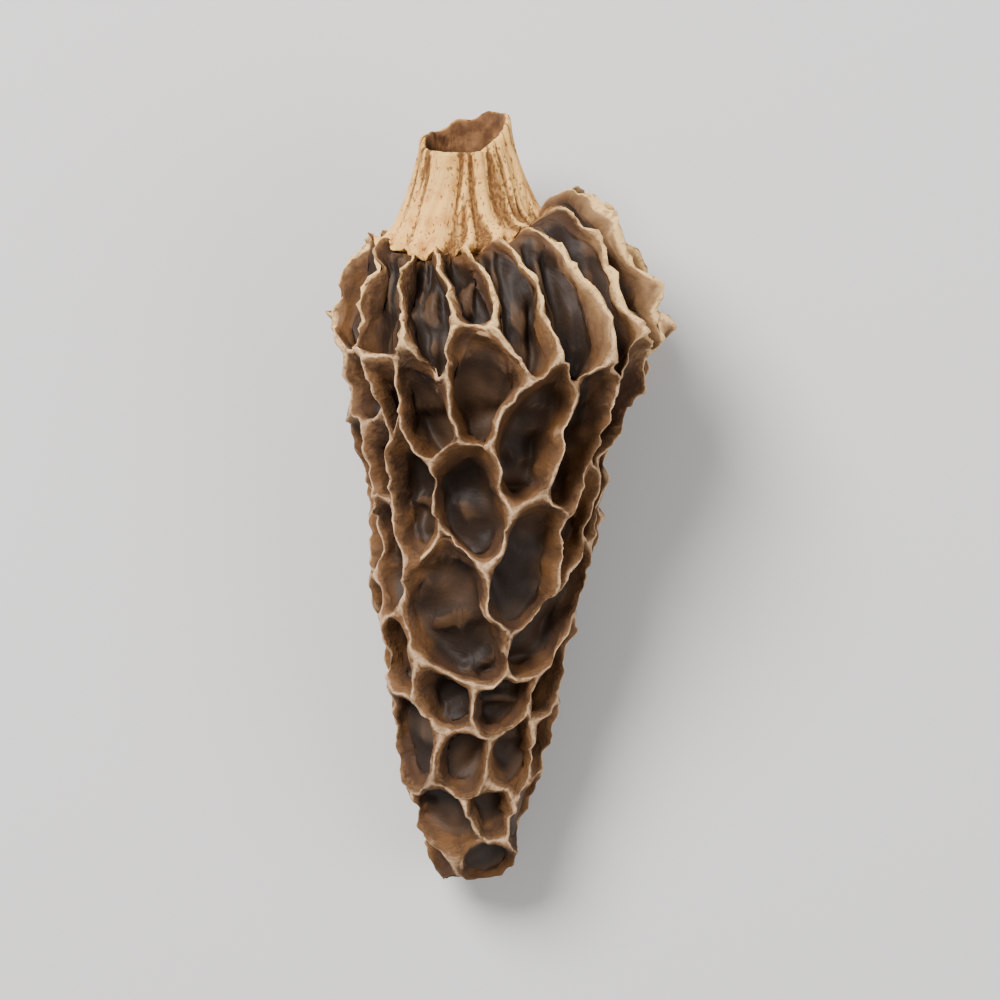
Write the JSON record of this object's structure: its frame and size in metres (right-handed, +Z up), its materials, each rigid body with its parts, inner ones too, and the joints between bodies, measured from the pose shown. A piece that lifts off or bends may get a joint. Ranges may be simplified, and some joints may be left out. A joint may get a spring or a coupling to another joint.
{
  "type": "dried morel mushroom",
  "caption": "Dried morel lying on its side: a pitted honeycomb cap with thin wavy ridges on a short hollow cut stem.",
  "frame": {"origin": "middle of the footprint, on the surface that the mushroom lies on", "axes": "+Y along the mushroom from the tip of the cap to the cut stem, +Z up, +X to the right seen from above with the stem up"},
  "size_m": [0.03, 0.0682, 0.0288],
  "materials": {
    "dried_flesh": null
  },
  "bodies": {
    "root": {"morel": "dried_flesh"}
  },
  "joints": []
}
